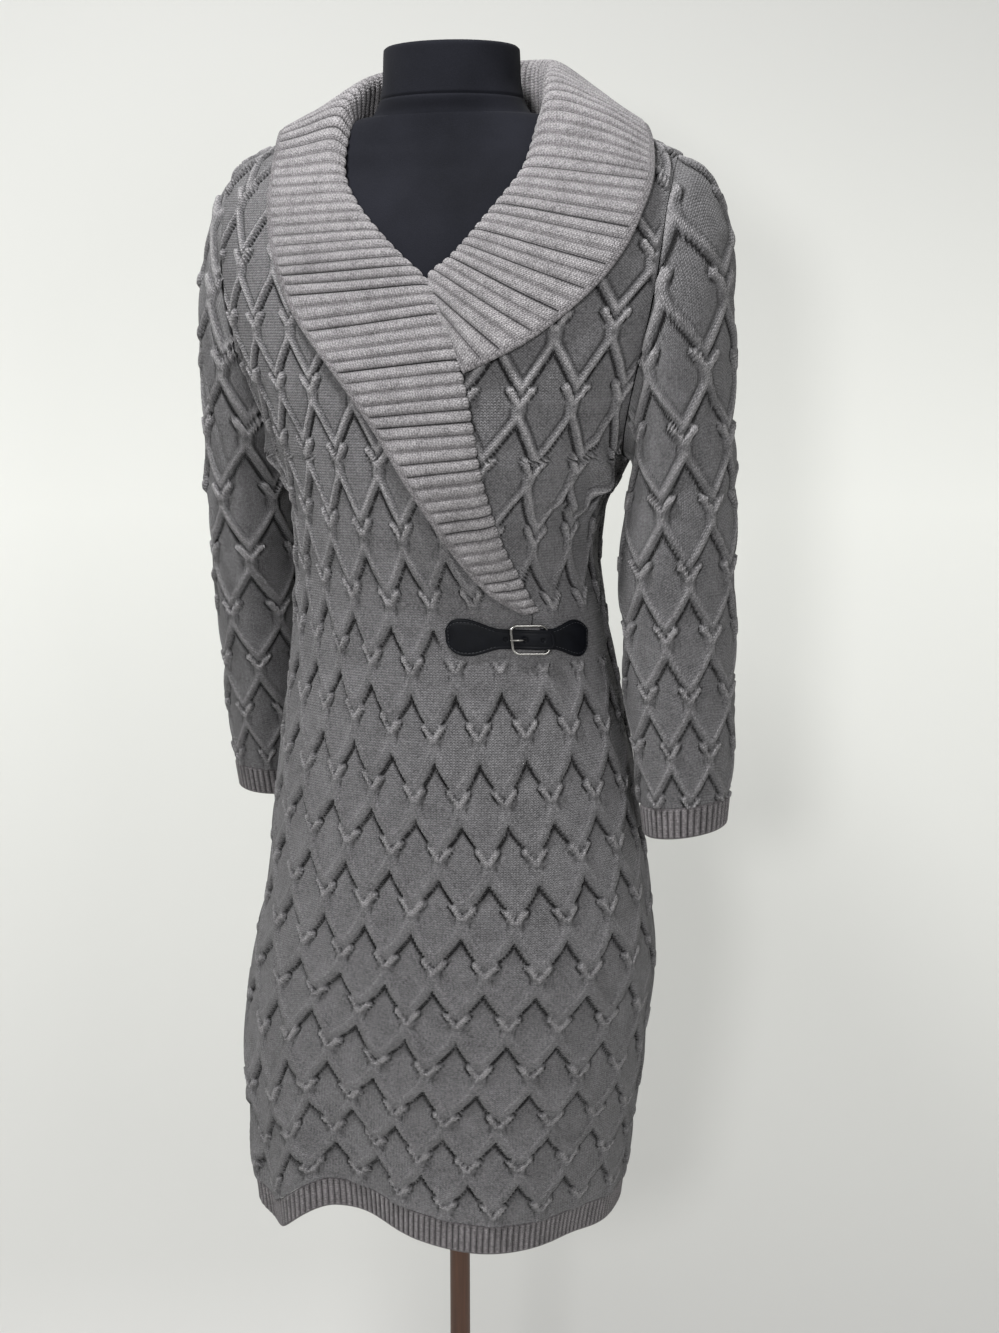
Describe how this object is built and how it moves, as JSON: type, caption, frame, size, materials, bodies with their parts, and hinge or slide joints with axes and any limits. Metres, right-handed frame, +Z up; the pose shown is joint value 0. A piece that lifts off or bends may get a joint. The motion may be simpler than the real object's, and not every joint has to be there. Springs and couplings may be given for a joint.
{
  "type": "sweater dress on a dress form",
  "caption": "Long-sleeved cable-knit sweater dress with a ribbed shawl collar, a wrapped front and a leather buckle tab, worn by a limbless dress form on a wooden stand.",
  "frame": {"origin": "centre of the underside of the round base, on the floor", "axes": "+Z up along the pole, -Y out of the dress's front, +X towards the wearer's left sleeve, which is the one on the viewer's right"},
  "size_m": [0.469, 0.38, 1.498],
  "materials": {
    "cable_knit": "heathered grey wool-blend cable knit, matt and slightly hairy",
    "rib_knit": "heathered grey rib knit, matt",
    "leather": "smooth black leather, semi-gloss",
    "nickel": "polished nickel plate",
    "form_jersey": "fine black cotton jersey",
    "stand_wood": "brown stained wood, satin varnish"
  },
  "bodies": {
    "root": {"front_wrap": "cable_knit", "front_under": "cable_knit", "back": "cable_knit", "sleeve_left": "cable_knit", "sleeve_right": "cable_knit", "hem_front": "rib_knit", "hem_back": "rib_knit", "cuff_left": "rib_knit", "cuff_right": "rib_knit", "collar": "rib_knit", "tab_left": "leather", "tab_right": "leather", "buckle_frame": "nickel", "buckle_prong": "nickel", "form_torso": "form_jersey", "form_neck": "form_jersey", "pole": "stand_wood", "base": "stand_wood"}
  },
  "joints": []
}
